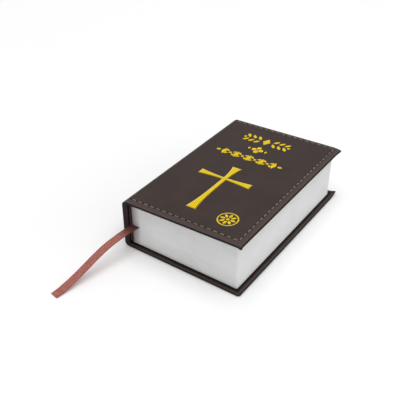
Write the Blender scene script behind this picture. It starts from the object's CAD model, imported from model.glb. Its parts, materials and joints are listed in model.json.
import json
import math

import bmesh
import bpy
import numpy as np
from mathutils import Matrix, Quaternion, Vector


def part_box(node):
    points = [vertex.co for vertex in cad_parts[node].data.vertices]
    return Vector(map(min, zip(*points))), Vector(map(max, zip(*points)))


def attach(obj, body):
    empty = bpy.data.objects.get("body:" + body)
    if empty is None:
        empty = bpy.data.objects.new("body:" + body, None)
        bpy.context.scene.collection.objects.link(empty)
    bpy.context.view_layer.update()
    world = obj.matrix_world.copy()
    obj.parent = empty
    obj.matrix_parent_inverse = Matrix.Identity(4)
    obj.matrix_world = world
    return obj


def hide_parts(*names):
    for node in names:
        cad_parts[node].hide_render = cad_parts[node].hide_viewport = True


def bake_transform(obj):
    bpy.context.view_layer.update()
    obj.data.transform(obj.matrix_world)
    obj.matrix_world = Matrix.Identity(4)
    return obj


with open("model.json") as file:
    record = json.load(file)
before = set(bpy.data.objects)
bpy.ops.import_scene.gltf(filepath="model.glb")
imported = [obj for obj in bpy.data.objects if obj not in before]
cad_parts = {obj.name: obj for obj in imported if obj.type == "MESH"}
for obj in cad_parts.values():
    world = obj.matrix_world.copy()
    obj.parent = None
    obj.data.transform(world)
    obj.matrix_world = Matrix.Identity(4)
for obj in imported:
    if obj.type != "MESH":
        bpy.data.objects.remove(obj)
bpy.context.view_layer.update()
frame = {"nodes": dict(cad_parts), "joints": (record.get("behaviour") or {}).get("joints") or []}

# Pocket prayer book. X runs from the spine to the fore-edge, Y from the tail to the head, Z up.
# Lengths are millimetres until a mesh or a place is handed to Blender.
MM = 0.001
random = np.random.default_rng(12)

# -------- camera

CAMERA_AZIMUTH = 34.19
CAMERA_ELEVATION = 35.94
CAMERA_ROLL = 0.32
CAMERA_DISTANCE = 401.9
CAMERA_TARGET = Vector((-8.36, -19.31, 16.0))
CAMERA_LENS = 57.64
CAMERA_NEAR_M = 0.01


def add_object(name, data):
    made = bpy.data.objects.new(name, data)
    bpy.context.scene.collection.objects.link(made)
    return made


def make_camera():
    """The camera at the photograph's viewing angle."""
    azimuth, elevation = math.radians(CAMERA_AZIMUTH), math.radians(CAMERA_ELEVATION)
    level = math.cos(elevation)
    back = Vector((math.sin(azimuth) * level, -math.cos(azimuth) * level, math.sin(elevation)))
    data = bpy.data.cameras.new("camera")
    data.lens = CAMERA_LENS
    data.clip_start = CAMERA_NEAR_M
    camera = add_object("camera", data)
    camera.location = (CAMERA_TARGET + back * CAMERA_DISTANCE) * MM
    camera.rotation_mode = "QUATERNION"
    roll = Quaternion((0, 0, 1), math.radians(CAMERA_ROLL))
    camera.rotation_quaternion = (-back).to_track_quat("-Z", "Y") @ roll
    bpy.context.scene.camera = camera


make_camera()

# -------- sizes from the frame


def span(node):
    """Lowest and highest corner of a CAD node, in millimetres."""
    lo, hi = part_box(node)
    return np.array(lo) / MM, np.array(hi) / MM


def pivot(joint):
    """X and Z of the line that a joint turns about, in millimetres."""
    found = next(j for j in frame["joints"] if j["name"] == joint)
    return np.array([found["pos_m"][0], found["pos_m"][2]]) / MM


COVER_H = span("front_cover_leather")[1][1] * 2
SPINE_X = span("spine_leather")[0][0]
WALL_X = span("spine_leather")[1][0]
WALL_Z = (span("spine_leather")[0][2], span("spine_leather")[1][2])
MIDDLE_Z = sum(WALL_Z) / 2
FOLD_R = pivot("front_cover_open")[0] - SPINE_X
# How far out from its hinge line the inner face of a cover lies
INNER_W = FOLD_R - span("back_board_lining")[1][2]
PASTE_LO, PASTE_HI = span("back_pastedown")
PASTE_T = PASTE_HI[2] - PASTE_LO[2]
rising = span("front_pastedown")[1] - span("front_pastedown")[0]
RISE = math.atan((rising[2] - PASTE_T) / rising[0])

BLOCK_LO = span("section_01")[0]
BLOCK_HI = span("section_18")[1]
LEAF_T = span("back_flyleaf")[1][2] - span("back_flyleaf")[0][2]
# Half the width of a CAD stitch, on the front cover and on the back cover
FRONT_THREAD_HALF = 0.2
BACK_THREAD_HALF = 0.15
TAIL_ROW = span("front_stitching")[0][1] + FRONT_THREAD_HALF
HEAD_ROW = span("front_stitching")[1][1] - FRONT_THREAD_HALF
FORE_ROW = span("back_stitching")[1][0] - BACK_THREAD_HALF
# Ends of the rows of stitches across the spine
SPINE_ROW = (WALL_Z[0] + 0.3, WALL_Z[1] - 0.3)

LEATHER_T = 0.35
TURN_IN = 12.0
BOARD_START = span("back_board")[0][0] - SPINE_X - FOLD_R
# Radius of the rounded edges of a cover
EDGE_R = 0.64
# The leather folds with this outer radius, from FOLD_TOP along the spine to FLAT_START on the cover
FOLD_OUTER_R = 2.7
FOLD_TOP = FOLD_R + 0.15
FLAT_START = 1.5
# How far the spine's outer face stands out between its folds
SPINE_SWELL = 0.6
STITCH_PITCH = 4.15
STITCH_LEN = 2.75
STITCH_START = 3.0
# The leather under a row of stitches: a groove, with a dent at each gap between stitches
GROOVE_WIDE = 0.5
DENT_LONG = 0.7
DENT_WIDE = 0.42
# Depth of the groove and of the dents
FRONT_RELIEF = (0.12, 0.26)
BACK_RELIEF = (0.2, 0.12)


class Cover:
    """One cover and its own coordinates: u from its hinge to the fore-edge, w out of the book."""

    def __init__(self, name, side, tail_corner, head_corner):
        self.name = name
        self.corners = (tail_corner, head_corner)
        self.body = name + "_cover"
        self.side = side
        self.hinge = pivot(name + "_cover_open")
        self.tilt = RISE if side > 0 else 0.0
        fore = span(name + "_cover_leather")[1][0]
        self.reach = (fore - self.hinge[0] + INNER_W * math.sin(self.tilt)) / math.cos(self.tilt)
        self.row_u = (STITCH_START - FOLD_R, FORE_ROW - self.hinge[0])
        self.groove_depth, self.dent_depth = FRONT_RELIEF if side > 0 else BACK_RELIEF

    def flat(self, u, w):
        """Places in the cover's plane, as distances across and out from the hinge line."""
        c, s = math.cos(self.tilt), math.sin(self.tilt)
        return u * c - w * s, u * s + w * c

    def place(self, a, b, y):
        """World points from distances across and out from the hinge line."""
        a, b, y = np.broadcast_arrays(a, b, y)
        return np.stack([self.hinge[0] + a, y, self.hinge[1] + self.side * b], axis=-1)

    def point(self, u, y, w):
        """World points from the cover's own coordinates."""
        return self.place(*self.flat(np.asarray(u, float), np.asarray(w, float)), y)


FRONT = Cover("front", side=1, tail_corner=0.9, head_corner=0.9)
BACK = Cover("back", side=-1, tail_corner=1.8, head_corner=0.9)

# -------- mesh tools

# Baked meshes are shaded smooth up to this angle between faces
SHARP_DEGREES = 50


def make_piece(name, points, faces, material, attributes=None):
    """A smooth mesh object from points in millimetres."""
    mesh = bpy.data.meshes.new(name)
    mesh.from_pydata((np.asarray(points).reshape(-1, 3) * MM).tolist(), [], faces)
    mesh.shade_smooth()
    for key, values in (attributes or {}).items():
        layer = mesh.attributes.new(key, "FLOAT", "POINT")
        layer.data.foreach_set("value", np.asarray(values, np.float32).ravel())
    mesh.materials.append(material)
    piece = add_object(name, mesh)
    return piece


def grid_faces(index, flip=False):
    """Quads of a grid of point numbers, with its normal along columns x rows."""
    corners = [index[:-1, :-1], index[:-1, 1:], index[1:, 1:], index[1:, :-1]]
    quads = np.stack(corners, axis=-1).reshape(-1, 4)
    return (quads[:, ::-1] if flip else quads).tolist()


def slab_faces(top, bottom, flip=False):
    """A closed slab between two grids of point numbers."""
    faces = grid_faces(top, flip) + grid_faces(bottom, not flip)
    for upper, lower in ((bottom[0], top[0]), (top[-1], bottom[-1]), (top[:, 0], bottom[:, 0]),
                         (bottom[:, -1], top[:, -1])):
        faces += grid_faces(np.stack([upper, lower]), flip)
    return faces


def tube_faces(rings, sides, start=0):
    """Quads of a closed tube of rings, with its two ends closed."""
    index = start + np.arange(rings * sides).reshape(rings, sides)
    faces = grid_faces(np.hstack([index, index[:, :1]]))
    return faces + [index[0][::-1].tolist(), index[-1].tolist()]


def spaced(*stretches):
    """Positions along a line: each stretch is (start, end, step), and neighbours share an end."""
    parts = []
    for start, end, step in stretches:
        count = max(1, round(abs(end - start) / step))
        parts.append(np.linspace(start, end, count + 1)[:-1])
    return np.concatenate(parts + [[stretches[-1][1]]])


def ease(x, low, high):
    """A smooth step from 0 at low to 1 at high."""
    t = np.clip((x - low) / (high - low), 0, 1)
    return t * t * (3 - 2 * t)


def bell(x, width):
    """A smooth hump: 1 at 0, and small beyond its width."""
    return np.exp(-((x / width) ** 2))


def bake_modifiers(piece):
    """Puts the result of a piece's modifiers into its mesh."""
    shown = piece.evaluated_get(bpy.context.evaluated_depsgraph_get())
    mesh = bpy.data.meshes.new_from_object(shown)
    piece.modifiers.clear()
    mesh.set_sharp_from_angle(angle=math.radians(SHARP_DEGREES))
    piece.data = mesh


# -------- material tools

# Ridges of the wave texture in one unit of its coordinates, at a scale of 1
WAVES_PER_UNIT = 3.1831


class Paint:
    """One procedural material. Texture sizes are millimetres on the object."""

    def __init__(self, name, **constant):
        self.material = bpy.data.materials.new(name)
        self.material.use_nodes = True
        self.tree = self.material.node_tree
        self.shader = self.tree.nodes["Principled BSDF"]
        for key, value in constant.items():
            self.shader.inputs[key.replace("_", " ")].default_value = value
        self.object_space = self.tree.nodes.new("ShaderNodeTexCoord").outputs["Object"]

    def node(self, kind, inputs, output=0, **settings):
        made = self.tree.nodes.new(kind)
        for key, value in settings.items():
            setattr(made, key, value)
        for key, value in inputs.items():
            self.feed(made.inputs[key], value)
        return made.outputs[output]

    def feed(self, socket, value):
        if isinstance(value, bpy.types.NodeSocket):
            self.tree.links.new(value, socket)
        elif isinstance(value, tuple) and len(value) == 3 and socket.type == "RGBA":
            socket.default_value = (*value, 1)
        else:
            socket.default_value = value

    def stretched(self, scale, turn=(0, 0, 0)):
        """Object coordinates scaled on each axis, after a turn in degrees."""
        angles = tuple(math.radians(a) for a in turn)
        turned = self.node("ShaderNodeMapping", {"Vector": self.object_space, "Rotation": angles})
        return self.node("ShaderNodeMapping", {"Vector": turned, "Scale": scale})

    def noise(self, size, detail=2.0, vector=None, rough=0.5):
        inputs = {"Vector": vector or self.object_space, "Scale": 1 / (size * MM),
                  "Detail": detail, "Roughness": rough}
        return self.node("ShaderNodeTexNoise", inputs)

    def cells(self, size):
        inputs = {"Vector": self.object_space, "Scale": 1 / (size * MM)}
        return self.node("ShaderNodeTexVoronoi", inputs, feature="SMOOTH_F1")

    def waves(self, size, direction="X", vector=None, distortion=0.0):
        """Even ridges; size is the distance from one to the next."""
        inputs = {"Vector": vector or self.object_space, "Scale": 1 / (size * MM) / WAVES_PER_UNIT,
                  "Distortion": distortion, "Detail": 1.0}
        return self.node("ShaderNodeTexWave", inputs, bands_direction=direction)

    def sum(self, a, b, operation="ADD"):
        return self.node("ShaderNodeMath", {0: a, 1: b}, operation=operation)

    def range(self, value, low, high, new_low, new_high):
        inputs = {0: value, 1: low, 2: high, 3: new_low, 4: new_high}
        return self.node("ShaderNodeMapRange", inputs)

    def mix(self, share, first, second):
        """Colour mix of two colours by a share from 0 to 1."""
        inputs = {0: share, 6: first, 7: second}
        return self.node("ShaderNodeMix", inputs, output=2, data_type="RGBA")

    def toward(self, colour, other, value, low=0, high=1, most=1.0):
        """The colour, mixed with up to a share of another one as a value runs from low to high."""
        return self.mix(self.range(value, low, high, 0.0, most), colour, other)

    def attribute(self, name):
        return self.node("ShaderNodeAttribute", {}, output="Fac", attribute_name=name)

    def bump(self, height, depth, strength=1.0, normal=None):
        """Bump whose full height is depth millimetres."""
        inputs = {"Height": height, "Distance": depth * MM, "Strength": strength}
        if normal:
            inputs["Normal"] = normal
        return self.node("ShaderNodeBump", inputs)

    def finish(self, colour, roughness, normal=None):
        self.feed(self.shader.inputs["Base Color"], colour)
        self.feed(self.shader.inputs["Roughness"], roughness)
        if normal:
            self.feed(self.shader.inputs["Normal"], normal)
        return self.material


def leather_material(name, base, pale, deep):
    """Grained leather: paler on its pressed margins, rubbed on its rims, dark where it turns in."""
    paint = Paint(name, Specular_IOR_Level=0.13, Sheen_Weight=0.025, Sheen_Roughness=0.45)
    paint.shader.inputs["Sheen Tint"].default_value = (1.0, 0.86, 0.8, 1)
    pebbles = paint.cells(0.62)
    pores = paint.noise(0.24, detail=3.0)
    clouds = paint.noise(14.0, detail=4.0, rough=0.6)
    creases = paint.noise(1.7, detail=4.0, rough=0.65, vector=paint.stretched((1, 0.35, 1)))
    dark = tuple(0.72 * c for c in base)
    colour = paint.toward(dark, base, clouds, 0.3, 0.7)
    colour = paint.toward(colour, dark, pores, 0.35, 0.75, most=0.35)
    colour = paint.toward(colour, pale, paint.attribute("margin"), most=0.36)
    rub = paint.sum(paint.attribute("rim"), paint.range(creases, 0.3, 0.7, 0.2, 1.0), "MULTIPLY")
    colour = paint.toward(colour, pale, rub, most=0.7)
    colour = paint.toward(colour, deep, paint.attribute("under"), most=0.97)
    colour = paint.toward(colour, deep, paint.attribute("dent"), 0, 0.8, most=0.9)
    roughness = paint.range(paint.sum(pores, clouds), 0.7, 1.3, 0.48, 0.64)
    grain = paint.sum(pebbles, paint.sum(pores, 0.5, "MULTIPLY"))
    normal = paint.bump(creases, 0.12, strength=0.35)
    normal = paint.bump(grain, 0.07, strength=0.5, normal=normal)
    return paint.finish(colour, roughness, normal)


def paper_edge_material(name, base, shade, gutter):
    """Cut edges of many leaves: fine lines that run along the leaves, dull beside the spine."""
    paint = Paint(name, Specular_IOR_Level=0.2)
    lines = paint.noise(0.16, detail=3.0, vector=paint.stretched((0.03, 0.03, 1)), rough=0.6)
    bands = paint.noise(1.6, detail=2.0, vector=paint.stretched((0.05, 0.05, 1)))
    clouds = paint.noise(16.0, detail=3.0)
    colour = paint.toward(base, shade, lines, 0.3, 0.7, most=0.26)
    colour = paint.toward(colour, shade, bands, 0.35, 0.7, most=0.14)
    colour = paint.toward(colour, shade, clouds, 0.35, 0.7, most=0.5)
    colour = paint.toward(colour, gutter, paint.attribute("gutter"), most=0.97)
    return paint.finish(colour, 0.85, paint.bump(lines, 0.05, strength=0.25))


def sheet_material(name, base, shade, fibre=0.5):
    """A sheet of paper or card: faint fibres and clouding."""
    paint = Paint(name, Specular_IOR_Level=0.25)
    fibres = paint.noise(fibre, detail=5.0, rough=0.7, vector=paint.stretched((0.4, 1, 1)))
    clouds = paint.noise(9.0, detail=3.0)
    colour = paint.toward(base, shade, fibres, 0.3, 0.75, most=0.5)
    colour = paint.toward(colour, shade, clouds, 0.3, 0.7, most=0.35)
    return paint.finish(colour, 0.8, paint.bump(fibres, 0.02, strength=0.6))


def woven_material(name, warp, weft, pitch, turn):
    """Plain weave: two sets of ridges that cross."""
    paint = Paint(name, Specular_IOR_Level=0.3, Sheen_Weight=0.25)
    place = paint.stretched((1, 1, 1), turn)
    along = paint.waves(pitch, "X", place, distortion=0.6)
    across = paint.waves(pitch * 1.2, "Y", place, distortion=0.6)
    fuzz = paint.noise(pitch * 0.6, detail=3.0)
    colour = paint.mix(along, weft, warp)
    crossing = paint.sum(paint.range(across, 0, 1, 0.0, 0.5), fuzz, "MULTIPLY")
    colour = paint.mix(crossing, colour, weft)
    height = paint.sum(along, paint.sum(across, fuzz), "MULTIPLY")
    return paint.finish(colour, 0.5, paint.bump(height, 0.04))


def satin_material(name, base, dark, lit):
    """Satin ribbon: slanting twill lines, duller selvedges, a deeper colour near the leaves."""
    paint = Paint(name, Specular_IOR_Level=0.25, Sheen_Weight=0.08, Anisotropic=0.4)
    paint.shader.inputs["Sheen Tint"].default_value = (1.0, 0.75, 0.7, 1)
    twill = paint.waves(1.25, "X", paint.stretched((1, 1, 1), (0, 0, 42)), distortion=2.0)
    floats = paint.waves(0.23, "X", paint.stretched((1, 1, 1), (0, 0, -6)), distortion=0.4)
    fuzz = paint.noise(0.9, detail=4.0, rough=0.7)
    fresh = tuple(0.3 * c for c in dark)
    colour = paint.mix(paint.range(twill, 0.1, 0.9, 0.15, 1.0), dark, base)
    colour = paint.toward(colour, lit, fuzz, 0.4, 0.65, most=0.75)
    colour = paint.toward(colour, dark, paint.attribute("selvedge"), most=0.6)
    colour = paint.toward(colour, fresh, paint.attribute("unfaded"), most=0.86)
    height = paint.sum(paint.sum(twill, paint.sum(floats, 0.6, "MULTIPLY")), fuzz)
    roughness = paint.range(twill, 0, 1, 0.42, 0.6)
    return paint.finish(colour, roughness, paint.bump(height, 0.05, strength=0.8))


def thread_material(name, base, dark):
    """Spun thread: slanting fibres and a little fuzz."""
    paint = Paint(name, Specular_IOR_Level=0.3, Sheen_Weight=0.3)
    fibres = paint.noise(0.12, detail=3.0, vector=paint.stretched((1, 0.25, 1), (0, 0, 35)))
    soil = paint.noise(3.0, detail=3.0)
    colour = paint.toward(dark, base, fibres, 0.3, 0.7, most=0.8)
    colour = paint.toward(colour, dark, soil, 0.4, 0.75, most=0.5)
    colour = paint.toward(colour, dark, paint.attribute("worn"), most=0.8)
    return paint.finish(colour, 0.75, paint.bump(fibres, 0.04, strength=0.8))


def gold_material():
    """Stamped foil: grain and slanting press lines, and pressed rims that shine or darken."""
    bright, shade, warm = (0.98, 0.70, 0.004), (0.55, 0.35, 0.0), (0.97, 0.74, 0.01)
    speck, lit_rim, dark_rim = (0.30, 0.18, 0.02), (1.0, 0.93, 0.42), (0.11, 0.065, 0.01)
    paint = Paint("gold_foil", Metallic=0.35, Specular_IOR_Level=0.12)
    hatch = paint.waves(1.2, "X", paint.stretched((1, 1, 1), (0, 0, -11)), distortion=0.8)
    grain = paint.cells(0.6)
    specks = paint.noise(0.45, detail=4.0, rough=0.7)
    tone = paint.noise(5.0, detail=2.0)
    facing = paint.attribute("facing")
    colour = paint.toward(bright, shade, hatch, 0.2, 0.8, most=0.7)
    colour = paint.toward(colour, warm, tone, 0.3, 0.7, most=0.3)
    colour = paint.toward(colour, speck, specks, 0.68, 0.8, most=0.8)
    colour = paint.toward(colour, lit_rim, facing, most=0.95)
    colour = paint.toward(colour, dark_rim, facing, -0.1, -0.8, most=0.95)
    normal = paint.bump(paint.sum(grain, hatch), 0.08, strength=0.6)
    return paint.finish(colour, paint.range(specks, 0.3, 0.8, 0.34, 0.55), normal)


LEATHER = leather_material("leather_case", base=(0.0530, 0.0365, 0.0330),
                           pale=(0.105, 0.076, 0.069), deep=(0.005, 0.0035, 0.0035))
PAPER_EDGE = paper_edge_material("leaf_edges", base=(0.87, 0.87, 0.87), shade=(0.75, 0.75, 0.75),
                                 gutter=(0.085, 0.062, 0.06))
LEAF = sheet_material("leaf_paper", base=(0.87, 0.865, 0.85), shade=(0.78, 0.77, 0.75))
ENDPAPER = sheet_material("endpaper", (0.88, 0.87, 0.845), (0.79, 0.78, 0.745), fibre=0.8)
KRAFT = sheet_material("kraft_paper", (0.42, 0.29, 0.17), (0.30, 0.20, 0.11), fibre=1.2)
BOARD = sheet_material("grey_board", (0.34, 0.30, 0.25), (0.22, 0.19, 0.15), fibre=0.9)
MULL = woven_material("mull_cloth", warp=(0.68, 0.64, 0.55), weft=(0.46, 0.43, 0.36), pitch=0.7,
                      turn=(0, 90, 0))
LINEN = thread_material("linen_cord", base=(0.66, 0.58, 0.44), dark=(0.40, 0.33, 0.22))
THREAD = thread_material("stitching_thread", (0.37, 0.315, 0.26), (0.15, 0.122, 0.10))
SILK = thread_material("band_silk", (0.10, 0.028, 0.024), (0.035, 0.012, 0.011))
SATIN = satin_material("ribbon_satin", base=(0.39, 0.107, 0.084), dark=(0.16, 0.036, 0.029),
                       lit=(0.52, 0.20, 0.16))
GOLD = gold_material()

# -------- ribbon

RIBBON_T = 0.28
# The strip is a little wider than the CAD ribbon, and springs up a little in the middle
STRIP_W = 5.4
STRIP_POINTS = 25
SPRING = 1.4
SPRING_RUN = 26
SPRING_SPREAD = 16
# The route of the CAD ribbon, from the tail of the leaves down to the surface
RIBBON_ROUTE = np.array([
    [-34.2, -56.2, 14.1], [-34.3, -58.4, 14.3], [-34.6, -61.2, 14.4], [-35.1, -64.4, 14.2],
    [-35.6, -68.0, 13.7], [-36.2, -72.0, 12.9], [-36.9, -76.0, 11.9], [-37.6, -80.2, 10.7],
    [-38.3, -84.6, 9.3], [-39.0, -89.0, 7.9], [-39.7, -93.4, 6.4], [-40.4, -97.8, 5.0],
    [-41.1, -102.2, 3.6], [-41.8, -106.4, 2.4], [-42.4, -110.2, 1.4], [-43.0, -113.6, 0.7],
    [-43.5, -116.2, 0.4]])
RIBBON_RUN = np.linalg.norm(RIBBON_ROUTE - RIBBON_ROUTE[0], axis=1)
RIBBON_ROUTE[:, 2] += SPRING * bell(RIBBON_RUN - SPRING_RUN, SPRING_SPREAD)


def smooth_route(points, steps):
    """Points on a Catmull-Rom curve through a route."""
    padded = np.vstack([2 * points[0] - points[1], points, 2 * points[-1] - points[-2]])
    made = []
    for i in range(len(points) - 1):
        p0, p1, p2, p3 = padded[i:i + 4]
        for t in np.linspace(0, 1, steps, endpoint=False):
            made.append(0.5 * (2 * p1 + (p2 - p0) * t + (2 * p0 - 5 * p1 + 4 * p2 - p3) * t ** 2
                               + (3 * p1 - p0 - 3 * p2 + p3) * t ** 3))
    return np.array(made + [points[-1]])


def unit(v):
    return v / np.linalg.norm(v, axis=-1, keepdims=True)


def make_ribbon():
    """A flat strip with thicker selvedges, a faint ripple and a cut end."""
    line = smooth_route(RIBBON_ROUTE, 10)
    along = unit(np.gradient(line, axis=0))
    across = unit(np.cross([0, 0, 1], along))
    up = np.cross(along, across)
    side = np.linspace(-1, 1, STRIP_POINTS)
    thick = RIBBON_T / 2 * (0.72 + 0.28 * ease(np.abs(side), 0.72, 0.86))
    thick = thick * np.sqrt(1 - 0.92 * side ** 40)
    ripple = 0.05 * np.sin(np.arange(len(line)) * 0.41)[:, None] * np.cos(2.2 * side)[None]
    halves = []
    for face in (1, -1):
        width = across[:, None] * (STRIP_W / 2 * side[::face])[None, :, None]
        offset = ((thick * face)[None] + ripple)[:, ::face]
        halves.append(line[:, None] + width + up[:, None] * offset[..., None])
    points = np.concatenate(halves, axis=1)
    cut = random.uniform(-0.12, 0.12, STRIP_POINTS)
    points[-1] += along[-1] * np.concatenate([cut, cut[::-1]])[:, None]
    sides = points.shape[1]
    selvedge = np.tile(ease(np.abs(np.concatenate([side, side[::-1]])), 0.78, 0.95), len(line))
    run = np.linalg.norm(line - line[0], axis=1)
    unfaded = np.repeat(1 - ease(run, 2, 17), sides)
    ribbon = make_piece("ribbon", points, tube_faces(len(line), sides), SATIN,
                        {"selvedge": selvedge, "unfaded": unfaded})
    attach(ribbon, "text_block")
    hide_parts("ribbon_marker")
    length = np.linalg.norm(np.diff(RIBBON_ROUTE, axis=0), axis=1).sum()


make_ribbon()

# -------- leather case

# Steps of the grid near the edges, within NEAR_ROW of a row of stitches, and elsewhere
EDGE_STEP = 0.4
FINE_STEP = 0.2
OPEN_STEP = 0.5
NEAR_ROW = 1.2
# How far from the fore-edge the rounded corners start to pull the grid in
CORNER_PULL = 6
# How far the limp covers bend in at their free corners
BACK_HEAD_BEND = 1.8
FRONT_HEAD_BEND = 0.9
FRONT_TAIL_BEND = 0.8


def row_gaps(position, start, end):
    """Distance from each place along a row of stitches to the nearest gap between stitches."""
    count = math.floor((end - start) / STITCH_PITCH)
    step = (end - start) / count
    phase = (position - start) / step
    inside = np.clip(phase, 0, count)
    return (phase - np.round(inside)) * step


def row_dents(position, start, end, aside):
    """Shares from 0 to 1 of the dents of a row, from the places along it and beside it."""
    return bell(row_gaps(position, start, end), DENT_LONG) * bell(aside, DENT_WIDE)


def stitch_relief(u, y, cover):
    """Height change and darkness where the thread pulls the leather down, for a cover."""
    start, end = cover.row_u
    height = np.zeros(np.broadcast(u, y).shape)
    dent = np.zeros_like(height)
    on_row = ease(u, start - 1.2, start - 0.2) * (1 - ease(u, end + 0.2, end + 1.0))
    for row in (TAIL_ROW, HEAD_ROW):
        height -= cover.groove_depth * bell(y - row, GROOVE_WIDE) * on_row
        dent = np.maximum(dent, row_dents(u, start, end, y - row) * on_row)
    on_row = ease(y, TAIL_ROW - 1.0, TAIL_ROW - 0.2) * (1 - ease(y, HEAD_ROW + 0.2, HEAD_ROW + 1.0))
    height = np.minimum(height, -cover.groove_depth * bell(u - end, GROOVE_WIDE) * on_row)
    dent = np.maximum(dent, row_dents(y, TAIL_ROW, HEAD_ROW, u - end) * on_row)
    return height - cover.dent_depth * dent, dent


def wall_relief(z, y):
    """The same for the two rows of stitches across the spine."""
    groove_depth, dent_depth = FRONT_RELIEF
    height = np.zeros(np.broadcast(z, y).shape)
    dent = np.zeros_like(height)
    for row in (TAIL_ROW, HEAD_ROW):
        height -= groove_depth * bell(y - row, GROOVE_WIDE)
        dent = np.maximum(dent, row_dents(z, *SPINE_ROW, y - row))
    return height - dent_depth * dent, dent


def case_rows():
    """Y positions across the case: crowded at the rounded ends and near the stitching."""
    end = COVER_H / 2
    curl = EDGE_R * np.sin(np.radians(np.arange(90, 0, -15)))
    flat = spaced((-end + EDGE_R, TAIL_ROW - NEAR_ROW, EDGE_STEP),
                  (TAIL_ROW - NEAR_ROW, TAIL_ROW + NEAR_ROW, FINE_STEP),
                  (TAIL_ROW + NEAR_ROW, HEAD_ROW - NEAR_ROW, OPEN_STEP),
                  (HEAD_ROW - NEAR_ROW, HEAD_ROW + NEAR_ROW, FINE_STEP),
                  (HEAD_ROW + NEAR_ROW, end - EDGE_R, EDGE_STEP))
    return np.concatenate([-end + EDGE_R - curl, flat, end - EDGE_R + curl[::-1]])


def edge_drop(distance):
    """How far the face of a cover falls towards a rounded edge."""
    lack = EDGE_R - np.clip(distance, 0, EDGE_R)
    return EDGE_R - np.sqrt(EDGE_R ** 2 - lack ** 2)


def fold_outlines():
    """Outer and inner outline where the leather folds, as distances from the hinge line."""
    t = np.linspace(0, 1, 25)[1:-1]
    r, shift = FOLD_OUTER_R, FOLD_OUTER_R - FOLD_R
    straight, arc = FOLD_TOP - shift, r * math.pi / 2
    run = t * (straight + arc + FLAT_START - shift)
    angle = np.clip((run - straight) / r, 0, math.pi / 2)
    across = shift - r * np.cos(angle) + np.clip(run - straight - arc, 0, None)
    outer = np.stack([across, -shift + np.minimum(run - straight, 0) + r * np.sin(angle)], axis=1)
    wall = WALL_X - SPINE_X - FOLD_R
    bend = np.array([[wall, -FOLD_TOP], [0.35, -0.95], [0.1, INNER_W], [FLAT_START, INNER_W]])
    weights = np.stack([(1 - t) ** 3, 3 * t * (1 - t) ** 2, 3 * t ** 2 * (1 - t), t ** 3])
    return outer, weights.T @ bend


def cover_warp(cover, u, y):
    """How far out a limp cover bends at a place. It is negative: the corners bend inwards."""
    end = COVER_H / 2
    over = ease(u, cover.reach - 6, cover.reach + 1.5)
    head = over * ease(y, end - 9, end + 2)
    if cover.side < 0:
        return -BACK_HEAD_BEND * head
    tail = ease(u, cover.reach - 2.6, cover.reach + 0.4) * ease(-y, end - 2.6, end + 0.4)
    return -FRONT_HEAD_BEND * head - FRONT_TAIL_BEND * tail


def corner_radius(cover, y):
    """Radius of the corner at the tail or at the head, whichever y is nearer to."""
    return np.where(y < 0, *cover.corners)


def corner_inset(cover, y, inward=0.0):
    """How far the rounded corners pull the fore-edge in at y, for an outline that lies inward."""
    r = corner_radius(cover, y) - inward
    beyond = np.clip(r - (COVER_H / 2 - inward - np.abs(y)), 0, r)
    return r - np.sqrt(r ** 2 - beyond ** 2)


def plan_room(cover, u, y):
    """Distance from a place on a cover to its rounded outline."""
    r = corner_radius(cover, y)
    across, beyond = u - (cover.reach - r), np.abs(y) - (COVER_H / 2 - r)
    in_corner = (across > 0) & (beyond > 0)
    return np.where(in_corner, r - np.hypot(across, beyond), r - np.maximum(across, beyond))


def into_plane(cover, outline, share):
    """An outline beside the hinge line, turned into the cover's plane by shares from 0 to 1."""
    tilted = np.stack(cover.flat(outline[:, 0], outline[:, 1]), axis=1)
    return outline * (1 - share[:, None]) + tilted * share[:, None]


def case_fold(cover, rows):
    """The spine wall and the fold: their outer outline, grids outside and inside, and dents."""
    wall_b = spaced((-abs(cover.hinge[1] - MIDDLE_Z), -FOLD_TOP, OPEN_STEP))
    wall_outer = np.stack([np.full_like(wall_b, -FOLD_R), wall_b], axis=1)
    wall_inner = np.stack([np.full_like(wall_b, WALL_X - SPINE_X - FOLD_R), wall_b], axis=1)
    fold_outer, fold_inner = fold_outlines()
    fold_outer = into_plane(cover, fold_outer, ease(fold_outer[:, 0], -FOLD_R, 0))
    fold_inner = into_plane(cover, fold_inner, ease(fold_inner[:, 1], -1.2, -0.3))
    outer = np.vstack([wall_outer, fold_outer])
    outer[:, 0] -= SPINE_SWELL * ease(-outer[:, 0], -FOLD_R, FOLD_R)
    inner = np.vstack([wall_inner, fold_inner])
    middle, arm = (outer + inner) / 2, (outer - inner) / 2
    half = np.linalg.norm(arm, axis=1)
    shrink = (1 - edge_drop(COVER_H / 2 - np.abs(rows)) / half[None])[..., None]
    relief, dent = wall_relief(cover.hinge[1] + cover.side * outer[None, :, 1], rows)
    on_wall = 1 - ease(outer[:, 1], -1.2, -0.2)[None]
    outer_ab = middle[None] + arm[None] * shrink + unit(arm)[None] * (relief * on_wall)[..., None]
    inner_ab = middle[None] - arm[None] * shrink
    grids = [cover.place(ab[..., 0], ab[..., 1], rows) for ab in (outer_ab, inner_ab)]
    return outer, grids, dent * on_wall


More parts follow.
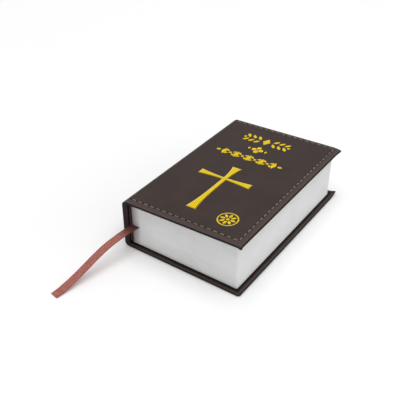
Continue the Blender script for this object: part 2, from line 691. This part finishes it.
def case_flat(cover, rows):
    """The flat of a cover: its u positions and its grids outside and inside, then for each point
    the distance to the edge and to the stitching, and the dents."""
    reach, row_end = cover.reach, cover.row_u[1]
    curl = EDGE_R * np.sin(np.radians(np.arange(15, 91, 15)))
    u = np.concatenate([spaced((FLAT_START, row_end - NEAR_ROW, OPEN_STEP),
                               (row_end - NEAR_ROW, row_end + NEAR_ROW, FINE_STEP),
                               (row_end + NEAR_ROW, reach - EDGE_R, EDGE_STEP)),
                        reach - EDGE_R + curl])[None]
    pull = np.clip((u - reach + CORNER_PULL) / (CORNER_PULL - EDGE_R), 0, 1)
    u = u - corner_inset(cover, rows) * pull
    room = plan_room(cover, u, rows)
    inside = np.minimum(np.minimum(rows - TAIL_ROW, HEAD_ROW - rows), row_end - u)
    height, dent = stitch_relief(u, rows, cover)
    # The front swells a little inside its stitching, and the margins outside it are pressed
    height += 0.05 * bell(inside - 1.5, 1.0) * (cover.side > 0) - 0.07 * ease(-inside, 0, 0.8)
    thick = (FOLD_R - INNER_W) / 2 - edge_drop(room)
    base = (FOLD_R + INNER_W) / 2 + cover_warp(cover, u, rows)
    grids = [cover.point(u, rows, base + thick + height), cover.point(u, rows, base - thick)]
    return u, grids, room, inside, dent


def case_faces(index, flip, open_point):
    """Faces outside, inside except where all points are open, and at tail, head and fore-edge."""
    lower = index + index.size
    inner_faces = np.array(grid_faces(lower, not flip))
    covered = ~open_point[inner_faces - index.size].all(axis=1)
    faces = grid_faces(index, flip) + inner_faces[covered].tolist()
    ends = (lower[0], index[0]), (index[-1], lower[-1]), (index[:, -1], lower[:, -1])
    for first, second in ends:
        faces += grid_faces(np.stack([first, second]), flip)
    return faces


def case_wear(outer, room, inside, dent, past_leaves, beyond_ends):
    """Values that the leather's material reads, on the outer grid and on the inner one."""
    rim = bell(room - 1.1, 0.4)
    # The fold is rubbed where it turns onto the cover
    rim[:, :len(outer)] += 0.8 * bell(outer[:, 0] + 0.3, 0.55) * (outer[:, 1] > -FOLD_R)
    margin = ease(-inside, -0.2, 0.7)
    under = 1 - ease(room, 0.1, 0.85)
    # Inside, the leather is dark beside the leaves and paler towards its edge
    hollow = 0.95 * (1 - ease(past_leaves, 1.0, 2.5)) + 0.3 * beyond_ends
    hollow = np.clip(np.maximum(hollow, 0.8 * under), 0, 1)
    inner_rim = 0.7 * bell(past_leaves - 2.7, 0.7)
    inner_margin = ease(past_leaves, 1.0, 2.4)
    return {"rim": np.stack([rim, inner_rim]), "margin": np.stack([margin, inner_margin]),
            "dent": np.stack([dent, np.zeros_like(dent)]), "under": np.stack([under, hollow])}


def make_case_half(cover):
    """Half of the leather skin: from the middle of the spine, over the fold, to the far edge."""
    rows = case_rows()[:, None]
    end = COVER_H / 2
    outer, fold_grids, fold_dent = case_fold(cover, rows)
    u, flat_grids, room, inside, dent = case_flat(cover, rows)
    grids = [np.concatenate(pair, axis=1) for pair in zip(fold_grids, flat_grids)]
    count = grids[0].shape[:2]
    index = np.arange(count[0] * count[1]).reshape(count)
    full_u = np.concatenate([np.full((count[0], len(outer)), -1.0), u], axis=1)
    full_y = np.abs(np.broadcast_to(rows, count))
    open_point = (full_u > TURN_IN) & (full_u < cover.reach - TURN_IN) & (full_y < end - TURN_IN)
    faces = case_faces(index, cover.side < 0, open_point.ravel())
    wide = np.ones((1, len(outer)))
    room = np.concatenate([(end - np.abs(rows)) * wide, room], axis=1)
    inside = np.concatenate([np.minimum(rows - TAIL_ROW, HEAD_ROW - rows) * wide, inside], axis=1)
    dent = np.concatenate([fold_dent, dent], axis=1)
    past_leaves = np.maximum(full_y - BLOCK_HI[1], full_u + cover.hinge[0] - BLOCK_HI[0])
    wear = case_wear(outer, room, inside, dent, past_leaves, full_y > BLOCK_HI[1])
    piece = make_piece(cover.name + "_case_leather", np.stack(grids), faces, LEATHER,
                       wear)
    skin = piece.modifiers.new("skin", "SOLIDIFY")
    skin.thickness = LEATHER_T * MM
    skin.offset = -1
    bake_modifiers(piece)
    bend = 0.75 / math.sqrt(2)
    ends = [cover.place(side * bend, side * bend, 0.0) * MM for side in (-1, 1)]
    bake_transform(piece)
    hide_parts(cover.name + "_cover_leather", "spine_leather")


def make_board(cover):
    """The card inside a cover, which bends with the leather."""
    node = cover.name + "_board"
    end = COVER_H / 2 - LEATHER_T
    crowd = 0.3 * np.arange(8)
    middle = spaced((-end + 2.4, end - 2.4, 3.0))
    rows = np.concatenate([-end + crowd, middle, end - crowd[::-1]])[:, None]
    share = np.concatenate([np.linspace(0, 0.88, 12)[:-1], np.linspace(0.88, 1, 14)])[None]
    edge = cover.reach - LEATHER_T - corner_inset(cover, rows, LEATHER_T)
    u = BOARD_START + (edge - BOARD_START) * share
    warp = cover_warp(cover, u, rows)
    grids = np.stack([cover.point(u, rows, FOLD_R - LEATHER_T + warp),
                      cover.point(u, rows, INNER_W + LEATHER_T + warp)])
    index = np.arange(u.size).reshape(u.shape)
    faces = slab_faces(index, index + index.size, cover.side < 0)
    piece = make_piece(node + "_card", grids, faces, BOARD)
    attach(piece, cover.body)
    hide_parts(node)


for side in (FRONT, BACK):
    make_case_half(side)
    make_board(side)

# -------- stitching

THREAD_STATIONS = 17
THREAD_SIDES = 10
# Turn of the two plies, in radians for each half millimetre
PLY_TURN = 1.9


def stitch_points(centre, along, out, radius, lift):
    """One stitch of two-ply thread, which dives into the leather at both ends."""
    s = np.linspace(-1, 1, THREAD_STATIONS)[:, None]
    side = np.cross(out, along)
    turn = np.linspace(0, 2 * math.pi, THREAD_SIDES, endpoint=False)[None]
    twist = s * STITCH_LEN * PLY_TURN
    taper = 1 - 0.35 * np.abs(s) ** 6
    wide = radius * taper * (1 + 0.2 * np.cos(2 * (turn - twist)))
    rise = lift - 2.4 * radius * np.abs(s) ** 5
    path = centre + along * (s * STITCH_LEN / 2) + out * rise
    ring = side * (wide * np.cos(turn))[..., None] + out * (wide * np.sin(turn))[..., None]
    return path[:, None] + ring


def make_stitching(name, places, radius, lift, body):
    """All the stitches of a node as one piece; places are (centre, along, out)."""
    points, faces, worn = [], [], []
    size = THREAD_STATIONS * THREAD_SIDES
    for i, (centre, along, out) in enumerate(places):
        slip = along * random.uniform(-0.08, 0.08)
        slip = slip + np.cross(out, along) * random.uniform(-0.05, 0.05)
        thick = radius * random.uniform(0.92, 1.08)
        points.append(stitch_points(centre + slip, along, out, thick, lift))
        faces += tube_faces(THREAD_STATIONS, THREAD_SIDES, start=i * size)
        worn += [random.uniform(0, 1)] * size
    piece = make_piece(name + "_thread", np.array(points), faces, THREAD,
                       {"worn": worn})
    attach(piece, body)
    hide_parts(name)


def along_row(start, end):
    """Middles of the stitches of a row."""
    count = math.floor((end - start) / STITCH_PITCH)
    return start + (np.arange(count) + 0.5) * (end - start) / count


def cover_stitches(cover):
    """Places of the stitches round the three free sides of a cover."""
    start, end = cover.row_u
    spots = [(u, TAIL_ROW, (1, 0)) for u in along_row(start, end)]
    spots += [(end, y, (0, 1)) for y in along_row(TAIL_ROW, HEAD_ROW)]
    spots += [(u, HEAD_ROW, (1, 0)) for u in along_row(start, end)]
    across, out = cover.flat(np.array([1.0, 0.0]), np.array([0.0, 1.0]))
    u_way = np.array([across[0], 0, cover.side * out[0]])
    w_way = np.array([across[1], 0, cover.side * out[1]])
    for u, y, (du, dy) in spots:
        level = FOLD_R + cover_warp(cover, np.array(u), np.array(y))
        yield cover.point(u, y, level), u_way * du + np.array([0, dy, 0]), w_way


def spine_stitches():
    """Places of the stitches across the two ends of the spine."""
    along, out = np.array([0, 0, 1.0]), np.array([-1.0, 0, 0])
    for row in (TAIL_ROW, HEAD_ROW):
        for z in along_row(*SPINE_ROW):
            yield np.array([SPINE_X - SPINE_SWELL, row, z]), along, out


# The back cover's stitches lie sunk in their groove, because the book lies on them
make_stitching("front_stitching", cover_stitches(FRONT), radius=0.28, lift=0.07, body="front_cover")
make_stitching("back_stitching", cover_stitches(BACK), radius=0.17, lift=-0.21, body="back_cover")
make_stitching("spine_stitching", spine_stitches(), radius=0.2, lift=0.03, body="text_block")

# -------- leaves

SPINE_CORNER_R = 1.4
FORE_CORNER_R = 1.5
CORNER_POINTS = 8
SIDE_POINTS = 12
SECTIONS = 18
LEAVES_IN_SECTION = 14
BLOCK_END = BLOCK_HI[1]
# How far the gaps between leaves lie behind their edges, and how far a short leaf does
GAP_DEPTH = 0.07
SHORT_LEAF = 0.07
SHORT_SHARE = 0.05
# How far the back of a section rounds at its top and bottom
SECTION_ROUND = 0.7
# Four times the height of the slow waves in the leaves at the middle of the block
PAGE_WAVE = 0.35


def block_z(share, x):
    """Height in the text block at a share of its thickness, 0 at the bottom."""
    top = BLOCK_HI[2] - (BLOCK_HI[0] - x) * math.tan(RISE)
    return BLOCK_LO[2] + (top - BLOCK_LO[2]) * share


def leaf_outline():
    """Plan of a leaf with rounded corners, anticlockwise, and its outward directions."""
    x0, x1 = BLOCK_LO[0], BLOCK_HI[0]
    arcs = []
    for x, end, first, r in ((x0 + SPINE_CORNER_R, -1, 180, SPINE_CORNER_R),
                             (x1 - FORE_CORNER_R, -1, 270, FORE_CORNER_R),
                             (x1 - FORE_CORNER_R, 1, 0, FORE_CORNER_R),
                             (x0 + SPINE_CORNER_R, 1, 90, SPINE_CORNER_R)):
        angle = np.radians(np.linspace(first, first + 90, CORNER_POINTS))
        ways = np.stack([np.cos(angle), np.sin(angle)], axis=1)
        arcs.append((np.array([x, end * (BLOCK_END - r)]) + ways * r, ways))
    share = np.linspace(0, 1, SIDE_POINTS + 2)[1:-1, None]
    points, outward = [], []
    for i, (arc, ways) in enumerate(arcs):
        after = arcs[(i + 1) % len(arcs)][0][0]
        points += [arc, arc[-1] + (after - arc[-1]) * share]
        outward += [ways, np.repeat(ways[-1:], SIDE_POINTS, axis=0)]
    return np.vstack(points), np.vstack(outward)


def make_section(number, outline, ways):
    """A sewn section whose cut edges show every leaf."""
    rings = []
    for leaf in range(LEAVES_IN_SECTION):
        jut = random.uniform(-0.05, 0.02)
        jut -= SHORT_LEAF if random.random() < SHORT_SHARE else 0
        for height, offset in ((0.0, -GAP_DEPTH), (0.22, jut), (0.78, jut)):
            rings.append(((leaf + height) / LEAVES_IN_SECTION, offset))
    rings.append((1.0, -GAP_DEPTH))
    points = []
    for share, offset in rings:
        whole = (number - 1 + share) / SECTIONS
        plan = outline + ways * offset
        fold = SECTION_ROUND * (1 - math.sqrt(max(0.0, 1 - (2 * share - 1) ** 2)))
        plan[:, 0] = np.maximum(plan[:, 0], BLOCK_LO[0] + fold)
        x, y = plan[:, 0], plan[:, 1]
        wave = PAGE_WAVE * np.sin(x / 13 + 1.3) * np.sin(y / 27 + 0.6) * whole * (1 - whole)
        points.append(np.stack([x, y, block_z(whole, x) + wave], axis=1))
    name = f"section_{number:02d}"
    points = np.array(points)
    gutter = 1 - ease(points[..., 0], BLOCK_LO[0] - 0.8, BLOCK_LO[0] + 3.8)
    faces = tube_faces(len(rings), len(outline))
    piece = make_piece(name + "_leaves", points, faces, PAPER_EDGE,
                       {"gutter": gutter})
    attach(piece, "text_block")
    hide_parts(name)


outline, ways = leaf_outline()
for number in range(1, SECTIONS + 1):
    make_section(number, outline, ways)

# -------- loose leaves

# A leaf bends over this distance from its turning line
PAGE_BEND = 8.0
PAGE_RIPPLE = 0.035
STUB_X = span("front_leaf_stubs")[0][0]


def end_room(distance, r):
    """How far a rounded corner cuts into the height of a leaf."""
    lack = np.clip(r - distance, 0, r)
    return r - np.sqrt(r ** 2 - lack ** 2)


def make_loose_leaf(node, cover, material, also=()):
    """A leaf from its glued margin to its fore-edge, which curls over its turning line."""
    turn = pivot(node + "_turn")
    tilt = np.array([math.cos(cover.tilt), cover.side * math.sin(cover.tilt)])
    back = (STUB_X - turn[0]) / tilt[0]
    fore = (span(node)[1][0] - turn[0]) / tilt[0] + random.uniform(-0.05, 0.08)
    crowd = 1 - np.cos(np.radians(np.arange(0, 90, 15)))
    s = np.concatenate([back + SPINE_CORNER_R * crowd,
                        spaced((back + SPINE_CORNER_R, 0, 1.0), (0, PAGE_BEND, 0.4),
                               (PAGE_BEND, fore - FORE_CORNER_R, 4.0)),
                        fore - FORE_CORNER_R * crowd[::-1]])
    high = BLOCK_END - end_room(s - back, SPINE_CORNER_R) - end_room(fore - s, FORE_CORNER_R)
    y = np.linspace(-1, 1, 25)[:, None] * high[None]
    ripple = PAGE_RIPPLE * np.sin(s / 7 + 2 * random.random())[None]
    ripple = ripple * np.sin(y / 15 + 6 * random.random())
    grids = []
    for face in (1, -1):
        z = turn[1] + s * tilt[1] + (face * LEAF_T / 2 + ripple * ease(s, 2, 12))
        grids.append(np.stack(np.broadcast_arrays(turn[0] + s * tilt[0], y, z), axis=-1))
    index = np.arange(y.size).reshape(y.shape)
    faces = slab_faces(index, index + index.size)
    piece = make_piece(node + "_sheet", np.stack(grids), faces, material)
    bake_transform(piece)
    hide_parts(node, *also)


make_loose_leaf("front_flyleaf", FRONT, ENDPAPER, ["front_leaf_stubs"])
for k in range(1, 5):
    make_loose_leaf(f"front_leaf_{k}", FRONT, LEAF)
make_loose_leaf("back_flyleaf", BACK, ENDPAPER, ["back_leaf_stubs"])
make_loose_leaf("back_leaf_1", BACK, LEAF)


# Where an endpaper folds, from the hinge line, and the angles of the points round its fold
FOLD_U = 1.0
FOLD_SWING = np.radians(np.concatenate([np.arange(90, 24, -11), np.arange(21, -22, -3.5),
                                        np.arange(-26, -91, -10.5)]))


def fold_line(start, end, top, bottom):
    """One face of a folded endpaper: from its start at the top, round the fold, to its end."""
    r, middle = (top - bottom) / 2, (top + bottom) / 2
    around = [(FOLD_U - r * math.cos(a), middle + r * math.sin(a)) for a in FOLD_SWING]
    return [(start, top)] + around + [(end, bottom)]


def make_endpaper_fold(cover):
    """The fold that joins the pasted endpaper to the flyleaf, and opens flat over the joint."""
    turn = pivot(cover.name + "_flyleaf_turn")
    sunk = abs(turn[0] - cover.hinge[0]) * math.sin(cover.tilt)
    centre = -(cover.side * (cover.hinge[1] - turn[1]) + sunk)
    pasted, free = INNER_W - PASTE_T, centre + LEAF_T / 2
    paste_u, stub_u = PASTE_LO[0] - cover.hinge[0], STUB_X - cover.hinge[0]
    outside = fold_line(paste_u, stub_u, INNER_W, centre - LEAF_T / 2)
    inside = fold_line(paste_u, stub_u, pasted, free)
    ring = np.array(outside + inside[::-1])
    stations = np.linspace(-1, 1, 9) * (BLOCK_END - 0.8)
    points = [cover.point(ring[:, 0], y, ring[:, 1]) for y in stations]
    faces = tube_faces(len(stations), len(ring))
    piece = make_piece(cover.name + "_endpaper_fold", np.array(points), faces, ENDPAPER)
    gap = pasted - free
    ends = [cover.point(0.0, 0.0, w) * MM for w in (free + 0.1 * gap, pasted - 0.1 * gap)]
    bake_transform(piece)


make_endpaper_fold(FRONT)
make_endpaper_fold(BACK)

# -------- bands

SILK_PITCH = 0.42
SILK_SIDES = 14


def make_band(node):
    """A cord wound with silk: fine slanting ridges round a bead."""
    lo, hi = span(node)
    centre, r = (lo + hi) / 2, (hi[0] - lo[0]) / 2
    z = np.arange(lo[2], hi[2], SILK_PITCH / 7)[:, None]
    angle = np.linspace(0, 2 * math.pi, SILK_SIDES, endpoint=False)[None]
    ridge = np.abs(np.sin(math.pi * z / SILK_PITCH + angle / 2))
    wide = r * (0.86 + 0.14 * ridge)
    x, y = centre[0] + wide * np.cos(angle), centre[1] + wide * np.sin(angle)
    points = np.stack(np.broadcast_arrays(x, y, z), axis=-1)
    piece = make_piece(node + "_silk", points, tube_faces(len(z), SILK_SIDES), SILK)
    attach(piece, "text_block")
    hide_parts(node)


make_band("head_band")
make_band("tail_band")

# -------- foil

# The side of a stamped rim that catches the light
FOIL_LIT = unit(np.array([-0.75, 0.65]))


def make_foil(node, rim, rise):
    """The CAD foil with a pressed rim: its top is set in by the rim and raised a little."""
    mesh = frame["nodes"][node].data.copy()
    mesh.name = node + "_leaf"
    shape = bmesh.new()
    shape.from_mesh(mesh)
    bmesh.ops.remove_doubles(shape, verts=shape.verts, dist=0.002 * MM)
    bmesh.ops.recalc_face_normals(shape, faces=shape.faces)
    facing = shape.faces.layers.float.new("facing")
    tops = [face for face in shape.faces if face.normal.z > 0.9]
    made = bmesh.ops.inset_region(shape, faces=tops, thickness=rim * MM, depth=rise * MM,
                                  use_even_offset=True)
    shape.normal_update()
    for face in made["faces"]:
        face[facing] = float(unit(np.array(face.normal[:2])) @ FOIL_LIT)
    shape.to_mesh(mesh)
    shape.free()
    mesh.materials.clear()
    mesh.materials.append(GOLD)
    piece = add_object(node + "_leaf", mesh)
    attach(piece, "front_cover")
    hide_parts(node)


make_foil("foil_cross", rim=0.5, rise=0.18)
for node in ("foil_row_upper", "foil_row_middle", "foil_row_lower", "foil_rosette"):
    make_foil(node, rim=0.14, rise=0.07)

# -------- carried-over CAD nodes


def dress(material, *nodes):
    """Gives CAD nodes a finished material; their shapes stay."""
    for node in nodes:
        mesh = frame["nodes"][node].data
        mesh.materials.clear()
        mesh.materials.append(material)


dress(ENDPAPER, "front_pastedown", "back_pastedown")
dress(BOARD, "spine_strip")
dress(KRAFT, "front_board_lining", "back_board_lining", "spine_lining")
dress(MULL, "spine_mull")
dress(LINEN, "sewing_cords", "kettle_stitches")
dress(SATIN, "ribbon_inner")

# -------- floor and light

# The opened back cover stops 2 degrees short of flat, so the floor falls away under its far edge
FLOOR_FALL = 3.3
FALL_START = -55
FALL_END = -125
FLOOR_HALF = 2500.0
FLOOR_GAP = 0.02
LAMP_TARGET = Vector((0, 0, 15))


def make_floor():
    """A plain floor that falls away gently where the opened back cover lies."""
    paint = Paint("floor", Specular_IOR_Level=0.1)
    tone = paint.noise(60.0, detail=2.0)
    colour = paint.mix(tone, (0.93, 0.93, 0.93), (0.95, 0.95, 0.95))
    x = np.linspace(FALL_END - 5, FALL_START + 5, 33)
    x = np.concatenate([[-FLOOR_HALF], x, [FLOOR_HALF]])[None]
    y = np.array([[-FLOOR_HALF], [FLOOR_HALF]])
    z = -FLOOR_GAP - FLOOR_FALL * ease(x, FALL_START, FALL_END)
    points = np.stack(np.broadcast_arrays(x, y, z), axis=-1)
    index = np.arange(x.size * y.size).reshape(y.size, x.size)
    mesh = bpy.data.meshes.new("floor")
    mesh.from_pydata((points.reshape(-1, 3) * MM).tolist(), [], grid_faces(index))
    mesh.shade_smooth()
    mesh.materials.append(paint.finish(colour, 0.9))
    floor = add_object("floor", mesh)


def make_lamp(name, place, size, power):
    """A soft square lamp that faces the middle of the book."""
    data = bpy.data.lights.new(name, "AREA")
    data.size = size * MM
    data.energy = power
    lamp = add_object(name, data)
    lamp.location = Vector(place) * MM
    lamp.rotation_mode = "QUATERNION"
    lamp.rotation_quaternion = (LAMP_TARGET - Vector(place)).to_track_quat("-Z", "Y")


def make_world(strength):
    """Even white light from all sides."""
    world = bpy.data.worlds.new("studio")
    world.use_nodes = True
    sky = world.node_tree.nodes["Background"]
    sky.inputs["Color"].default_value = (1, 1, 1, 1)
    sky.inputs["Strength"].default_value = strength
    bpy.context.scene.world = world


make_floor()
make_world(strength=0.6)
make_lamp("top", (450, 0, 3870), size=3600, power=90.0)
make_lamp("side", (900, 100, 450), size=500, power=0.7)
bpy.context.scene.view_settings.view_transform = "Standard"
